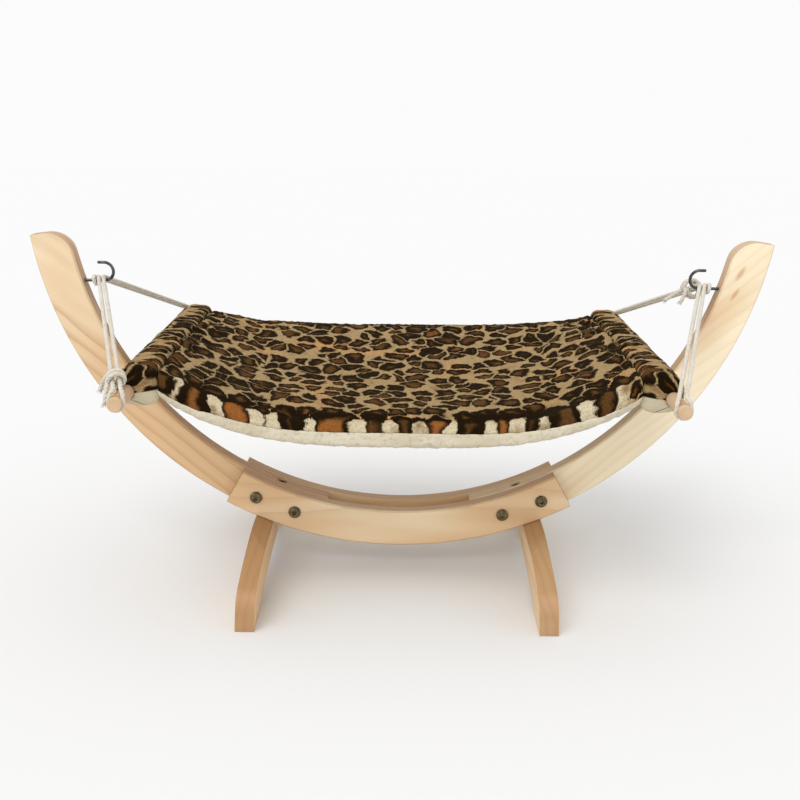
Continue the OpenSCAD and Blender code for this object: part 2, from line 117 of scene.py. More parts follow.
def turn_outward(obj):
    """Splits the caps of a closed mesh into triangles and turns all its faces outward."""
    made = bmesh.new()
    made.from_mesh(obj.data)
    bmesh.ops.triangulate(made, faces=[f for f in made.faces if len(f.verts) > 4])
    bmesh.ops.recalc_face_normals(made, faces=made.faces)
    made.to_mesh(obj.data)
    made.free()


def hang_on_bed(obj, node):
    """Lets a piece ride on the bed in place of a solid."""
    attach(obj, "bed")
    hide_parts(node)


# Camera
def add_camera():
    data = bpy.data.cameras.new("camera")
    data.lens = CAMERA_LENS
    data.sensor_width = SENSOR
    camera = bpy.data.objects.new("camera", data)
    camera.location = CAMERA_AT
    tilt = Matrix.Rotation(math.radians(90.0 - CAMERA_DOWN), 3, "X")
    roll = Matrix.Rotation(math.radians(CAMERA_ROLL), 3, "Z")
    camera.rotation_euler = (tilt @ roll).to_euler()
    bpy.context.scene.collection.objects.link(camera)
    bpy.context.scene.camera = camera


# Materials: one function each
def new_material(name, **sockets):
    """A material with a Principled shader, and its node tree and that shader."""
    material = bpy.data.materials.new(name)
    material.use_nodes = True
    tree = material.node_tree
    shader = tree.nodes["Principled BSDF"]
    for socket, value in sockets.items():
        shader.inputs[socket.replace("_", " ")].default_value = value
    return material, tree, shader


def add_node(tree, kind, inputs=None, **settings):
    """A node with its settings, and its inputs as values or as links from other nodes' outputs."""
    made = tree.nodes.new("ShaderNode" + kind)
    for key, value in settings.items():
        setattr(made, key, value)
    for key, value in (inputs or {}).items():
        if isinstance(value, bpy.types.NodeSocket):
            tree.links.new(value, made.inputs[key])
        else:
            made.inputs[key].default_value = value
    return made


def math_node(tree, operation, *values):
    return add_node(tree, "Math", dict(enumerate(values)), operation=operation).outputs[0]


def soft_step(tree, value, low, high):
    ranged = add_node(tree, "MapRange", {"Value": value, "From Min": low, "From Max": high},
                      interpolation_type="SMOOTHSTEP")
    return ranged.outputs[0]


def mix_colour(tree, factor, a, b, blend="MIX"):
    """A mix of two colours, each an output or three numbers."""
    a, b = ((*colour, 1.0) if isinstance(colour, tuple) else colour for colour in (a, b))
    mixed = add_node(tree, "Mix", {0: factor, 6: a, 7: b}, data_type="RGBA", blend_type=blend)
    return mixed.outputs[2]


def ramp(tree, value, *stops):
    """A colour ramp through stops of (place, colour)."""
    made = add_node(tree, "ValToRGB", {"Fac": value})
    elements = made.color_ramp.elements
    while len(elements) < len(stops):
        elements.new(0.5)
    for element, (place, colour) in zip(elements, stops):
        element.position = place
        element.color = (*colour, 1.0)
    return made.outputs[0]


def scaled(tree, vector, scale, rotation=(0.0, 0.0, 0.0)):
    mapping = add_node(tree, "Mapping", {"Vector": vector, "Scale": scale, "Rotation": rotation})
    return mapping.outputs[0]


# The setting of a noise that lies on a UV map
FLAT = {"noise_dimensions": "2D"}


def noise_node(tree, vector, scale, detail=2.0, **settings):
    return add_node(tree, "TexNoise", {"Vector": vector, "Scale": scale, "Detail": detail}, **settings)


def voronoi(tree, inputs, feature, dimensions):
    return add_node(tree, "TexVoronoi", inputs, feature=feature, voronoi_dimensions=dimensions)


def moved_by(tree, vector, shifts, reach):
    """A vector moved by the colours of a noise, up to half a reach each way."""
    centred = add_node(tree, "VectorMath", {0: shifts, 1: (0.5, 0.5, 0.5)}, operation="SUBTRACT").outputs[0]
    step = add_node(tree, "VectorMath", {0: centred, 3: reach}, operation="SCALE").outputs[0]
    return add_node(tree, "VectorMath", {0: vector, 1: step}, operation="ADD").outputs[0]


def bump(tree, shader, height, strength, distance):
    made = add_node(tree, "Bump", {"Height": height, "Strength": strength, "Distance": distance})
    tree.links.new(made.outputs[0], shader.inputs["Normal"])


# Pine: colours, growth rings and lengths in metres
PINE_CREAM = (0.95, 0.84, 0.61)
PINE_PALE = (0.86, 0.70, 0.46)
PINE_WARM = (0.73, 0.485, 0.265)
PINE_LATE = (0.52, 0.29, 0.125)
# Tone of the narrow faces: partly their own darker tone, partly painted shade
PINE_EDGE_SHADE = (0.62, 0.515, 0.425)
PINE_KNOT = (0.52, 0.25, 0.08)
PINE_RINGS_PER_M = 120.0
PINE_RING_STOPS = ((0.0, 0.15), (0.45, 0.0), (0.8, 0.6), (0.92, 1.0), (1.0, 0.15))
PINE_WANDER = 0.03
PINE_BUMP = 0.0006
KNOT_LEAN = math.radians(58.0)
KNOT_SLIM = 3.2
KNOT_WANDER = 0.012


def pine(name, grain_turn, heart, pale, warmth, fade=0.0, broad="Y", knots=()):
    """Flat-sawn pine. grain_turn turns its grain, and heart is the middle of the tree, both in the piece's
    frame. fade is how fast it pales as it rises. broad is the axis across its wide faces, and knots are
    (x, z, length) on them."""
    material, tree, shader = new_material(name, Roughness=0.5, Coat_Weight=0.08, Coat_Roughness=0.4)
    place = add_node(tree, "TexCoord").outputs["Object"]
    along = scaled(tree, place, (1.0, 1.0, 1.0), grain_turn)
    wander = noise_node(tree, scaled(tree, along, (3.0, 14.0, 14.0)), 1.0, 3.0).outputs["Color"]
    log = add_node(tree, "VectorMath", {0: along, 1: heart}, operation="SUBTRACT").outputs[0]
    log = scaled(tree, moved_by(tree, log, wander, PINE_WANDER), (0.0, 1.0, 1.0))
    radius = add_node(tree, "VectorMath", {0: log}, operation="LENGTH").outputs[1]
    rings = math_node(tree, "FRACT", math_node(tree, "MULTIPLY", radius, PINE_RINGS_PER_M))
    figure = ramp(tree, rings, *((at, (grey,) * 3) for at, grey in PINE_RING_STOPS))
    fibre = noise_node(tree, scaled(tree, along, (9.0, 420.0, 420.0)), 1.0, 3.0).outputs["Fac"]
    cloud = noise_node(tree, scaled(tree, along, (4.0, 18.0, 18.0)), 1.0, 2.0).outputs["Fac"]
    height = add_node(tree, "SeparateXYZ", {0: place}).outputs["Z"]
    cloud = math_node(tree, "MULTIPLY_ADD", height, -fade, cloud)
    body = mix_colour(tree, soft_step(tree, cloud, 0.35 - warmth, 0.75 - warmth), pale, PINE_WARM)
    late = math_node(tree, "MULTIPLY", figure, 0.24 + 0.6 * warmth)
    body = mix_colour(tree, late, body, PINE_LATE)
    body = mix_colour(tree, math_node(tree, "MULTIPLY", fibre, 0.24), body, PINE_WARM)
    for x, z, size in knots:
        off = add_node(tree, "VectorMath", {0: place, 1: (x, 0.0, z)}, operation="SUBTRACT").outputs[0]
        off = scaled(tree, off, (1.0, 0.0, 1.0), (0.0, KNOT_LEAN, 0.0))
        off = moved_by(tree, scaled(tree, off, (1.0, 1.0, KNOT_SLIM)), wander, KNOT_WANDER)
        off = add_node(tree, "VectorMath", {0: off}, operation="LENGTH").outputs[1]
        mark = math_node(tree, "MULTIPLY", soft_step(tree, off, size, size * 0.2), 0.6)
        body = mix_colour(tree, mark, body, PINE_KNOT)
    # Narrow faces are darkened by which way they face: partly their own tone, partly painted shade
    facing = add_node(tree, "SeparateXYZ", {0: add_node(tree, "NewGeometry").outputs["True Normal"]})
    facing = math_node(tree, "ABSOLUTE", facing.outputs[broad])
    edge = soft_step(tree, facing, 0.9, 0.35)
    body = mix_colour(tree, edge, body, mix_colour(tree, 1.0, body, PINE_EDGE_SHADE, "MULTIPLY"))
    tree.links.new(body, shader.inputs["Base Color"])
    rough = math_node(tree, "MULTIPLY_ADD", fibre, 0.22, 0.42)
    tree.links.new(rough, shader.inputs["Roughness"])
    relief = math_node(tree, "MULTIPLY_ADD", figure, 0.6, fibre)
    bump(tree, shader, relief, 0.16, PINE_BUMP)
    return material


# Beech: colours, and the depth of its relief in metres
BEECH_PALE = (0.72, 0.52, 0.335)
BEECH_DEEP = (0.60, 0.40, 0.235)
BEECH_FLECK = (0.42, 0.25, 0.12)
BEECH_BUMP = 0.0004


def dowel_wood():
    """Pale turned beech, with short flecks along its length."""
    material, tree, shader = new_material("dowel_wood", Roughness=0.55)
    place = add_node(tree, "TexCoord").outputs["Object"]
    fibre = noise_node(tree, scaled(tree, place, (420.0, 14.0, 420.0)), 1.0, 3.0).outputs["Fac"]
    tone = noise_node(tree, scaled(tree, place, (60.0, 9.0, 60.0)), 1.0, 2.0).outputs["Fac"]
    body = ramp(tree, tone, (0.3, BEECH_PALE), (0.7, BEECH_DEEP))
    body = mix_colour(tree, math_node(tree, "MULTIPLY", fibre, 0.35), body, BEECH_FLECK)
    tree.links.new(body, shader.inputs["Base Color"])
    bump(tree, shader, fibre, 0.2, BEECH_BUMP)
    return material


# Metal: colours, and the depth of its relief in metres
HOOK_DARK = (0.05, 0.05, 0.052)
HOOK_BRIGHT = (0.16, 0.16, 0.165)
BOLT_DARK = (0.080, 0.066, 0.036)
BOLT_BRIGHT = (0.28, 0.235, 0.13)
METAL_BUMP = 0.0002


def worn_metal(name, dark, bright, roughness):
    """Plated metal with cloudy wear."""
    material, tree, shader = new_material(name, Metallic=1.0)
    place = add_node(tree, "TexCoord").outputs["Object"]
    cloud = noise_node(tree, place, 320.0, 4.0).outputs["Fac"]
    fine = noise_node(tree, place, 1500.0, 2.0).outputs["Fac"]
    tree.links.new(ramp(tree, cloud, (0.35, dark), (0.72, bright)), shader.inputs["Base Color"])
    tree.links.new(math_node(tree, "MULTIPLY_ADD", fine, 0.3, roughness - 0.15), shader.inputs["Roughness"])
    bump(tree, shader, fine, 0.1, METAL_BUMP)
    return material


# Cotton: colours, and the depth of its relief in metres
COTTON_DEEP = (0.72, 0.675, 0.575)
COTTON_PALE = (0.83, 0.80, 0.715)
COTTON_SHADE = (0.60, 0.54, 0.44)
COTTON_BUMP = 0.0005


def cotton():
    """Cream twisted cotton: fine yarns along the strands, darker between them."""
    material, tree, shader = new_material("cotton_cord", Roughness=0.92, Sheen_Weight=0.35,
                                          Sheen_Roughness=0.5)
    uv = add_node(tree, "UVMap", uv_map="UVMap").outputs[0]
    yarn = noise_node(tree, scaled(tree, uv, (160.0, 42.0, 1.0)), 1.0, 3.0, **FLAT).outputs["Fac"]
    tone = noise_node(tree, add_node(tree, "TexCoord").outputs["Object"], 60.0, 2.0).outputs["Fac"]
    body = ramp(tree, tone, (0.3, COTTON_DEEP), (0.7, COTTON_PALE))
    body = mix_colour(tree, soft_step(tree, yarn, 0.62, 0.38), body, COTTON_SHADE)
    tree.links.new(body, shader.inputs["Base Color"])
    bump(tree, shader, yarn, 0.5, COTTON_BUMP)
    return material


# Print and lining: colours
PRINT_TAN = (0.38, 0.262, 0.128)
# Ground of the rim: partly the print's cream, partly painted light that makes the side paler than the top
RIM_CREAM_AND_PAINTED_LIGHT = (0.62, 0.525, 0.35)
PRINT_SHADE = (0.27, 0.165, 0.07)
PRINT_GLOW = (0.50, 0.27, 0.11)
PRINT_DARK = (0.013, 0.0065, 0.002)
PRINT_BROWN = (0.098, 0.044, 0.013)
PRINT_RUST = (0.29, 0.105, 0.025)
LINING_PALE = (0.68, 0.615, 0.475)
LINING_DEEP = (0.56, 0.49, 0.35)
LINING_SHADE = (0.52, 0.45, 0.32)

# The print's lengths, in metres, and how fine its hairs are
RIM_BLOCK = 0.031
RIM_FADE = 0.004
# Width of the band inside the rim with bigger dark spots: partly crowded print, partly painted shadow
RIM_CROWD_AND_SHADOW = 0.017
LINING_FADE = 0.001
HAIR_REACH = 0.003
PILE_BUMP = 0.0016
FLEECE_BUMP = 0.002
HAIR_FINENESS = 700.0

# Fineness and reach of the noises that bend the spots, by the size of a spot
SPOT_BEND_SHARES = ((0.8, 0.9), (2.2, 0.34))

# Shares of the size of a spot, or of a block at the rim
SPOT_GAP_SHARE = 0.11
RING_LEAST_SHARE = 0.16
RING_MORE_SHARE = 0.18
BLOCK_GAP_LEAST_SHARE = 0.05
BLOCK_GAP_MORE_SHARE = 0.17
BLOCK_RING_SHARE = 0.09
BLOCK_SWAY_SHARE = 0.6
# How much the dark spots grow in that band, partly crowded print and partly painted shadow
CROWD_AND_SHADOW_SHARE = 0.09


def spot_cells(tree, place, spot):
    """Spots of a size along and across: how deep a point lies in its spot, and chances for each spot."""
    cells = scaled(tree, place, (1.0 / spot[0], 1.0 / spot[1], 1.0))
    for fineness, reach in SPOT_BEND_SHARES:
        cells = moved_by(tree, cells, noise_node(tree, cells, fineness, 1.0, **FLAT).outputs["Color"], reach)
    inputs = {"Vector": cells, "Scale": 1.0, "Randomness": 0.8}
    edge = voronoi(tree, inputs, "DISTANCE_TO_EDGE", "2D").outputs["Distance"]
    nearest = voronoi(tree, inputs, "F1", "2D")
    round_edge = math_node(tree, "MULTIPLY_ADD", nearest.outputs["Distance"], -0.85, 0.52)
    return math_node(tree, "SMOOTH_MIN", edge, round_edge, 0.16), nearest.outputs["Color"]


def rim_blocks(tree, uv, fuzzy):
    """Blocks in a row along the mat: how deep a point lies in its block, and chances for each block."""
    sway = noise_node(tree, uv, 45.0, 2.0, **FLAT).outputs["Fac"]
    sway = math_node(tree, "MULTIPLY", sway, BLOCK_SWAY_SHARE)
    along = add_node(tree, "SeparateXYZ", {0: fuzzy}).outputs["X"]
    along = math_node(tree, "MULTIPLY_ADD", along, 1.0 / RIM_BLOCK, sway)
    inputs = {"W": along, "Scale": 1.0, "Randomness": 0.9}
    depth = voronoi(tree, inputs, "DISTANCE_TO_EDGE", "1D").outputs["Distance"]
    return depth, voronoi(tree, inputs, "F1", "1D").outputs["Color"]


def rim_places(tree, half_width, half_length):
    """How far a point is on the rim, and how far in the band of bigger dark spots beside it and at the mat's
    ends.
    That band is partly crowded print and partly painted shadow, in the trough inside the rim and in the
    valley at the sleeves.
    """
    place = add_node(tree, "SeparateXYZ", {0: add_node(tree, "TexCoord").outputs["Object"]})
    across, ahead = (math_node(tree, "ABSOLUTE", place.outputs[axis]) for axis in "YX")
    beside = soft_step(tree, across, half_width - RIM_FADE, half_width + RIM_FADE)
    within = soft_step(tree, ahead, half_length + 2 * RIM_FADE, half_length - 2 * RIM_FADE)
    rim = math_node(tree, "MULTIPLY", beside, within)
    rising = soft_step(tree, across, half_width - RIM_CROWD_AND_SHADOW, half_width - RIM_FADE)
    falling = soft_step(tree, across, half_width + RIM_FADE, half_width)
    crowd_and_shadow = math_node(tree, "MULTIPLY", rising, falling)
    ends = soft_step(tree, ahead, half_length - 2 * RIM_CROWD_AND_SHADOW, half_length + RIM_CROWD_AND_SHADOW)
    return rim, math_node(tree, "MAXIMUM", crowd_and_shadow, math_node(tree, "MULTIPLY", ends, 0.5))


def print_plush(name, spot, rim_from=None, stretch=None):
    """Short plush with a spotted print. spot is the size of a spot along and across. Beyond the half width
    and within the half length that rim_from gives, blocks stand on cream; that cream ground is partly the
    print and partly painted light, which makes the side paler than the top. stretch gives the first and the
    last place of the print along the UV map, and the rest is lining."""
    material, tree, shader = new_material(name, Roughness=0.95, Sheen_Weight=0.03, Sheen_Roughness=0.5,
                                          Sheen_Tint=(0.95, 0.75, 0.45, 1.0), Specular_IOR_Level=0.02)
    uv = add_node(tree, "UVMap", uv_map="UVMap").outputs[0]
    hairs = noise_node(tree, scaled(tree, uv, (1.0, 0.5, 1.0)), HAIR_FINENESS, 2.0, **FLAT).outputs["Color"]
    fuzzy = moved_by(tree, uv, hairs, HAIR_REACH)
    depth, lot = spot_cells(tree, fuzzy, spot)
    if rim_from:
        rim, crowd_and_shadow = rim_places(tree, *rim_from)
        block_depth, block_lot = rim_blocks(tree, uv, fuzzy)
        change = math_node(tree, "SUBTRACT", block_depth, depth)
        depth = math_node(tree, "MULTIPLY_ADD", change, rim, depth)
        lot = mix_colour(tree, math_node(tree, "GREATER_THAN", rim, 0.5), lot, block_lot)
    chance = add_node(tree, "SeparateColor", {0: lot}).outputs
    gap = math_node(tree, "MULTIPLY", chance[0], SPOT_GAP_SHARE)
    ring = math_node(tree, "MULTIPLY_ADD", chance[1], RING_MORE_SHARE, RING_LEAST_SHARE)
    rusty = chance[2]
    glow = noise_node(tree, uv, 17.0, 2.0, **FLAT).outputs["Fac"]
    ground = mix_colour(tree, soft_step(tree, glow, 0.55, 0.8), PRINT_TAN, PRINT_GLOW)
    if rim_from:
        wide = math_node(tree, "MULTIPLY_ADD", chance[0], BLOCK_GAP_MORE_SHARE, BLOCK_GAP_LEAST_SHARE)
        gap = math_node(tree, "MULTIPLY_ADD", rim, wide, gap)
        # Bigger dark spots beside the rim and at the ends: partly crowded print, partly painted shadow
        gap = math_node(tree, "MULTIPLY_ADD", crowd_and_shadow, -CROWD_AND_SHADOW_SHARE, gap)
        ring = math_node(tree, "MULTIPLY_ADD", rim, BLOCK_RING_SHARE, ring)
        rusty = math_node(tree, "MULTIPLY_ADD", rim, 0.5, rusty)
        # Cream ground on the rim: partly print, partly painted light
        ground = mix_colour(tree, rim, ground, RIM_CREAM_AND_PAINTED_LIGHT)
    spots = soft_step(tree, math_node(tree, "SUBTRACT", depth, gap), -0.035, 0.04)
    heart = soft_step(tree, math_node(tree, "SUBTRACT", depth, ring), -0.03, 0.16)
    tone = noise_node(tree, uv, 60.0, 3.0, **FLAT).outputs["Fac"]
    ground = mix_colour(tree, soft_step(tree, tone, 0.5, 0.85), ground, PRINT_SHADE)
    centre = mix_colour(tree, soft_step(tree, rusty, 0.8, 1.2), PRINT_BROWN, PRINT_RUST)
    coat = mix_colour(tree, spots, ground, mix_colour(tree, heart, PRINT_DARK, centre))
    place = add_node(tree, "TexCoord").outputs["Object"]
    pile = noise_node(tree, place, HAIR_FINENESS, 3.0).outputs["Fac"]
    coat = mix_colour(tree, 1.0, coat, ramp(tree, pile, (0.3, (0.66,) * 3), (0.7, (1.16,) * 3)), "MULTIPLY")
    if stretch:
        first, last = stretch
        along = add_node(tree, "SeparateXYZ", {0: uv}).outputs["X"]
        past_first = soft_step(tree, along, first - LINING_FADE, first + LINING_FADE)
        before_last = soft_step(tree, along, last + LINING_FADE, last - LINING_FADE)
        printed = math_node(tree, "MULTIPLY", past_first, before_last)
        coat = mix_colour(tree, printed, LINING_DEEP, coat)
    tree.links.new(coat, shader.inputs["Base Color"])
    bump(tree, shader, pile, 0.7, PILE_BUMP)
    return material


def fleece():
    """Cream fleece with a curly nap."""
    material, tree, shader = new_material("cream_lining", Roughness=0.96, Sheen_Weight=0.1,
                                          Sheen_Roughness=0.5, Specular_IOR_Level=0.15)
    place = add_node(tree, "TexCoord").outputs["Object"]
    curl = noise_node(tree, place, 260.0, 3.0).outputs["Fac"]
    tone = noise_node(tree, place, 26.0, 3.0).outputs["Fac"]
    body = ramp(tree, tone, (0.3, LINING_DEEP), (0.7, LINING_PALE))
    body = mix_colour(tree, soft_step(tree, curl, 0.5, 0.25), body, LINING_SHADE)
    tree.links.new(body, shader.inputs["Base Color"])
    bump(tree, shader, curl, 0.9, FLEECE_BUMP)
    return material


# Cords: routes on the right side, mirrored for the left
dowel_low, dowel_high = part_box("right_dowel")
DOWEL_X = (dowel_low.x + dowel_high.x) / 2
DOWEL_Z = (dowel_low.z + dowel_high.z) / 2
DOWEL_D = dowel_high.x - dowel_low.x
DOWEL_HALF = (dowel_high.y - dowel_low.y) / 2
hook_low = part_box("right_hook")[0]
HOOK_Z = hook_low.z + WIRE_D / 2
HOOK_BEND_X = hook_low.x + HOOK_BEND_R + WIRE_D / 2

CORD_R = CORD_D / 2
LANE_PITCH = CORD_D + CORD_GAP
FIRST_LANE_X = HOOK_BEND_X + CORD_R / 2
SECOND_LANE_X = FIRST_LANE_X + LANE_PITCH
HOOK_TURN_R = WIRE_D / 2 + RUN_GAP + CORD_R
GROOVE_W = CORD_D + 2 * FIT_GAP
GROOVE_Y = DOWEL_HALF - KNOB_LEN - GROOVE_W / 2
GROOVE_TURN_R = GROOVE_D / 2 + FIT_GAP + CORD_R
RISE_Y = GROOVE_Y - GROOVE_W / 4
RISE_R = DOWEL_D / 2 + CORD_R + CORD_GAP
LEAD_Y = GROOVE_Y - GROOVE_W - CORD_R
LEAD_R = DOWEL_D / 2 + CORD_D

# Angles where a cord leaves its groove, climbs and leads off, on the inner and the outer side of the dowel
INNER_ANGLES = (150.0, 129.0, 108.0)
OUTER_ANGLES = (30.0, 51.0, 72.0)
SLOPE = math.degrees(math.atan((HOOK_Z - DOWEL_Z) / GROOVE_Y))
NEAR_SIDE = 90.0 + SLOPE
FAR_SIDE = 90.0 - SLOPE
THIRD_LANE_X = SECOND_LANE_X + LANE_PITCH * (360.0 + NEAR_SIDE - FAR_SIDE) / 360.0
LOOP_STEPS = 14
OVER_STEPS = 4
TURN_STEPS = 22
TAIL_SHARES = (0.25, 0.6, 1.0)

# Ways that a knot's two tails fall, before the left one is mirrored
LEFT_TAIL_WAYS = ((0.1, -0.5, -1.0), (0.4, 0.0, -1.0))
RIGHT_TAIL_WAYS = ((-0.5, 0.0, -1.0), (-1.0, 0.2, -0.8))


def about_dowel(radius, angle, y):
    a = math.radians(angle)
    return np.array([DOWEL_X + radius * math.cos(a), y, DOWEL_Z + radius * math.sin(a)])


def dowel_end(side, first, last, turn):
    """A cord's way in, once round the groove and out again, at the near end (-1) or the far end (1)."""
    start, stop = first[0], last[0] + turn
    loop = [about_dowel(GROOVE_TURN_R, start + (stop - start) * i / LOOP_STEPS, side * GROOVE_Y)
            for i in range(LOOP_STEPS + 1)]
    way_in = [about_dowel(LEAD_R, first[2], side * LEAD_Y), about_dowel(RISE_R, first[1], side * RISE_Y)]
    way_out = [about_dowel(RISE_R, last[1], side * RISE_Y), about_dowel(LEAD_R, last[2], side * LEAD_Y)]
    return way_in + loop + way_out


def hook_turn(start, stop, start_x, stop_x, steps):
    """A pass round the hook's wire, from one lane to another."""
    t = np.linspace(0.0, 1.0, steps + 1)
    a = np.radians(start + (stop - start) * t)
    x = start_x + (stop_x - start_x) * t
    return list(np.c_[x, HOOK_TURN_R * np.cos(a), HOOK_Z + HOOK_TURN_R * np.sin(a)])


def knot_route(strands, ways, tail_side, tail_ways):
    """A barrel knot wound round two strands, with a loose tail at each end."""
    middle = (strands[0] + strands[1]) / 2
    way = unit(ways[0] + ways[1])
    turn_r = np.linalg.norm(strands[0] - strands[1]) / 2 + CORD_D + CORD_GAP / 2
    first_drop, last_drop = (unit(np.array(tail_way)) for tail_way in tail_ways)
    n = tail_side * unit(np.cross(way, (0.0, 0.0, 1.0)))
    b = np.cross(n, way)
    steps = KNOT_STEPS * KNOT_TURNS
    coil = []
    for i in range(steps + 1):
        t = i / steps
        a = 2.0 * math.pi * KNOT_TURNS * t
        coil.append(middle + way * (t - 0.5) * LANE_PITCH * KNOT_TURNS
                    + turn_r * (n * math.cos(a) + b * math.sin(a)))
    first = [coil[0] + CORD_TAIL * k * first_drop - way * CORD_D * min(1.0, 2 * k) for k in TAIL_SHARES[::-1]]
    last = [coil[-1] + CORD_TAIL * k * last_drop + way * CORD_D * min(1.0, 2 * k) for k in TAIL_SHARES]
    return np.array(first + coil + last)


def cord_routes():
    """(left cord, left knot, right cord, right knot), as lists of points."""
    near = dowel_end(-1, OUTER_ANGLES, INNER_ANGLES, -360.0)
    far = dowel_end(1, INNER_ANGLES, OUTER_ANGLES, 360.0)
    over = hook_turn(NEAR_SIDE, FAR_SIDE, FIRST_LANE_X, FIRST_LANE_X, OVER_STEPS)
    wound = hook_turn(FAR_SIDE, NEAR_SIDE + 360.0, THIRD_LANE_X, SECOND_LANE_X, TURN_STEPS)
    left_way = unit(wound[-1] - near[0])
    left_tie = near[0] + left_way * LEFT_TIE_REACH
    left_pair_way = unit(over[0] - near[-1])
    left_pair = near[-1] + left_pair_way * LEFT_TIE_REACH
    right_way = unit(far[-1] - wound[0])
    right_tie = wound[0] + right_way * RIGHT_TIE_REACH
    right_pair_way = unit(far[0] - over[-1])
    right_pair = over[-1] + right_pair_way * RIGHT_TIE_REACH
    left = [left_tie - left_way * FIT_GAP] + near + over + far + wound + [left_tie + left_way * FIT_GAP]
    right = [right_tie - right_way * FIT_GAP] + wound + near + over + far + [right_tie + right_way * FIT_GAP]
    left_knot = knot_route((left_tie, left_pair), (left_way, left_pair_way), 1, LEFT_TAIL_WAYS)
    right_knot = knot_route((right_tie, right_pair), (right_way, right_pair_way), -1, RIGHT_TAIL_WAYS)
    mirrored = np.array((-1.0, 1.0, 1.0))
    return np.array(left) * mirrored, left_knot * mirrored, np.array(right), right_knot


def spaced(points, step):
    """Points an even step apart along a line."""
    along = np.r_[0.0, np.cumsum(np.linalg.norm(np.diff(points, axis=0), axis=1))]
    places = np.linspace(0.0, along[-1], max(2, round(along[-1] / step) + 1))
    return np.c_[tuple(np.interp(places, along, points[:, k]) for k in range(3))]


BEND_SOFTNESS = 0.0012
BEND_STEP = BEND_SOFTNESS / 4
BEND_REACH = 12


def softened(points):
    """A line whose corners are rounded as a cord's are, with its ends kept."""
    line = spaced(points, BEND_STEP)
    weights = np.exp(-0.5 * (np.arange(-BEND_REACH, BEND_REACH + 1) * BEND_STEP / BEND_SOFTNESS) ** 2)
    weights /= weights.sum()
    before = line[0] + (line[0] - line[1:BEND_REACH + 1])[::-1]
    after = line[-1] + (line[-1] - line[-BEND_REACH - 1:-1])[::-1]
    padded_line = np.r_[before, line, after]
    return np.c_[tuple(np.convolve(padded_line[:, k], weights, "valid") for k in range(3))]


def carried_frames(line):
    """Tangents and two normals at each point of a line, carried along it without twist."""
    tangents = np.gradient(line, axis=0)
    tangents /= np.linalg.norm(tangents, axis=1)[:, None]
    normals = np.zeros_like(line)
    aside = np.array((0.0, 0.0, 1.0)) if abs(tangents[0][2]) < 0.9 else np.array((1.0, 0.0, 0.0))
    n = unit(np.cross(tangents[0], aside))
    for i, t in enumerate(tangents):
        n = unit(n - t * (n @ t))
        normals[i] = n
    return tangents, normals, np.cross(tangents, normals)


# Rope: three strands laid together, and the loose yarns at its ends, in metres
ROPE_STRANDS = 3
ROPE_SIDES = 18
ROPE_STEP = 0.0011
ROPE_LAY = 0.0125
ROPE_CREASE_SHARE = 0.70
ROPE_CREST_SHARE = 1.04
ROPE_LOBE_POWER = 0.55
ROPE_SWELL_SHARE = 0.035
ROPE_SWELL_FINENESS = 260.0
ROPE_SWELL_SEED = 3
ROPE_TIP_SHARE = 0.35
TAIL_FIBRES = 16
FIBRE_LEN = 0.0045
FIBRE_R_SHARE = 0.16
FIBRE_SPREAD_SHARE = 0.85
FIBRE_ROOT_SHARE = 0.4
FIBRE_LEAN = 0.55
GOLDEN_ANGLE = 2.399963


def rope_mesh(route, frayed):
    """(points, faces, UV pairs, centreline) of a twisted rope, with frayed ends if asked."""
    line = spaced(softened(route), ROPE_STEP)
    tangents, normals, binormals = carried_frames(line)
    along = np.arange(len(line)) * ROPE_STEP
    around = np.arange(ROPE_SIDES) * 2 * math.pi / ROPE_SIDES
    lobe = np.abs(np.cos(around * ROPE_STRANDS / 2))
    radius = CORD_R * (ROPE_CREASE_SHARE + (ROPE_CREST_SHARE - ROPE_CREASE_SHARE) * lobe ** ROPE_LOBE_POWER)
    turned = around[None, :] + (2 * math.pi * along / ROPE_LAY)[:, None]
    swell = 1.0 + ROPE_SWELL_SHARE * rolling_noise(line, ROPE_SWELL_FINENESS, ROPE_SWELL_SEED)
    ring = normals[:, None] * np.cos(turned)[..., None] + binormals[:, None] * np.sin(turned)[..., None]
    points = line[:, None] + ring * (radius[None, :] * swell[:, None])[..., None]
    uv = np.stack(np.broadcast_arrays(along[:, None], turned / (2 * math.pi)), axis=-1).reshape(-1, 2)
    count = len(line)
    faces = grid_faces(count, ROPE_SIDES)
    points = list(points.reshape(-1, 3))
    uv = list(uv)
    for row, outward in ((0, -1), (count - 1, 1)):
        tip = len(points)
        points.append(line[row] + outward * tangents[row] * CORD_R * ROPE_TIP_SHARE)
        uv.append((along[row], 0.5))
        for j in range(ROPE_SIDES):
            k = (j + 1) % ROPE_SIDES
            a, b = row * ROPE_SIDES + j, row * ROPE_SIDES + k
            faces.append((a, tip, b) if outward > 0 else (b, tip, a))
        if frayed:
            fray(points, faces, uv, line[row], outward * tangents[row], normals[row], binormals[row])
    return points, faces, uv, line


